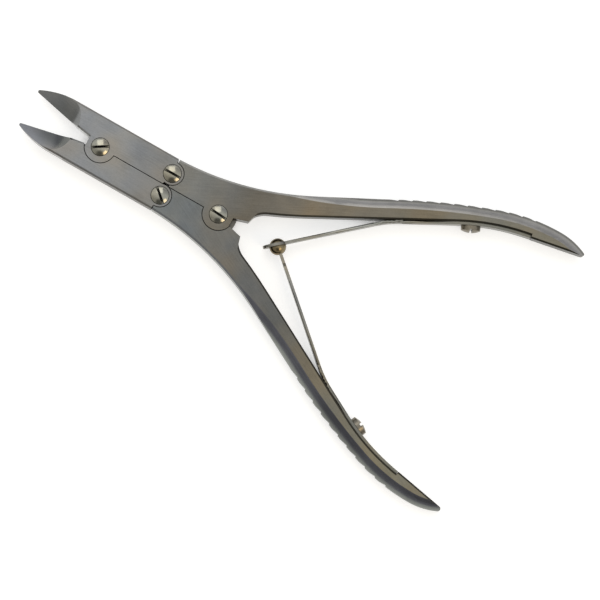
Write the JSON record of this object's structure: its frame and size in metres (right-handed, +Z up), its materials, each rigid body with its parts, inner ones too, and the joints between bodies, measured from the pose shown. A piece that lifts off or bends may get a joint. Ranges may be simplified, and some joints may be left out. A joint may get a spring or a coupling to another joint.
{
  "type": "bone cutting forceps",
  "caption": "Double-action bone cutting forceps: hollow-ground straight blades, compound lap-jointed linkage, ribbed handles and a leaf spring pair with a ball joint.",
  "frame": {"origin": "centre of the fully open forceps seen from above, on the plane it rests on", "axes": "+X from the blades towards the ends of the handles, +Y from the lower to the upper handle of the picture, +Z up out of the flat side that carries the screw heads"},
  "size_m": [0.1556, 0.0872, 0.0078],
  "materials": {
    "blade_steel": "satin ground stainless steel",
    "handle_steel": "satin brushed stainless steel",
    "screw_steel": "turned and polished stainless steel",
    "spring_steel": "smooth rolled spring steel"
  },
  "bodies": {
    "lower_handle": {"lower_handle": "handle_steel", "rear_pivot_screw": "screw_steel", "lower_link_screw": "screw_steel", "lower_spring_screw": "screw_steel"},
    "upper_handle": {"upper_handle": "handle_steel", "upper_link_screw": "screw_steel", "upper_spring_screw": "screw_steel"},
    "upper_jaw": {"upper_jaw": "blade_steel"},
    "lower_jaw": {"lower_jaw": "blade_steel", "front_pivot_screw": "screw_steel"},
    "upper_spring": {"upper_leaf_spring": "spring_steel"},
    "lower_spring": {"lower_leaf_spring": "spring_steel", "spring_ball": "spring_steel"}
  },
  "joints": [
    {"name": "handle_pivot", "type": "hinge", "parent": "lower_handle", "child": "upper_handle", "pos_m": [-0.01685, 0, 0.0035], "axis": [0, 0, -1], "range_deg": [0, 31.03], "stiffness_Nm_per_rad": 0.3, "springref_deg": -17.19},
    {"name": "upper_link", "type": "hinge", "parent": "upper_handle", "child": "upper_jaw", "pos_m": [-0.03365, 0.0035, 0.0035], "axis": [0, 0, 1], "range_deg": [0, 27.61]},
    {"name": "lower_link", "type": "hinge", "parent": "lower_handle", "child": "lower_jaw", "pos_m": [-0.03365, -0.0035, 0.0035], "axis": [0, 0, -1], "range_deg": [0, 27.61]},
    {"name": "upper_leaf_flex", "type": "hinge", "parent": "upper_handle", "child": "upper_spring", "pos_m": [0.02528, 0.02202, 0.0035], "axis": [0, 0, -1], "range_deg": [0, 10.79], "deforming": ["upper_leaf_spring"]},
    {"name": "lower_leaf_flex", "type": "hinge", "parent": "lower_handle", "child": "lower_spring", "pos_m": [0.03139, -0.0253, 0.0035], "axis": [0, 0, 1], "range_deg": [0, 7.27], "deforming": ["lower_leaf_spring"]}
  ],
  "couplings": [
    {"joint": "upper_link", "follows": "handle_pivot", "ratio": 0.88996},
    {"joint": "lower_link", "follows": "handle_pivot", "ratio": 0.88996},
    {"joint": "upper_leaf_flex", "follows": "handle_pivot", "ratio": 0.34766},
    {"joint": "lower_leaf_flex", "follows": "handle_pivot", "ratio": 0.23444}
  ]
}
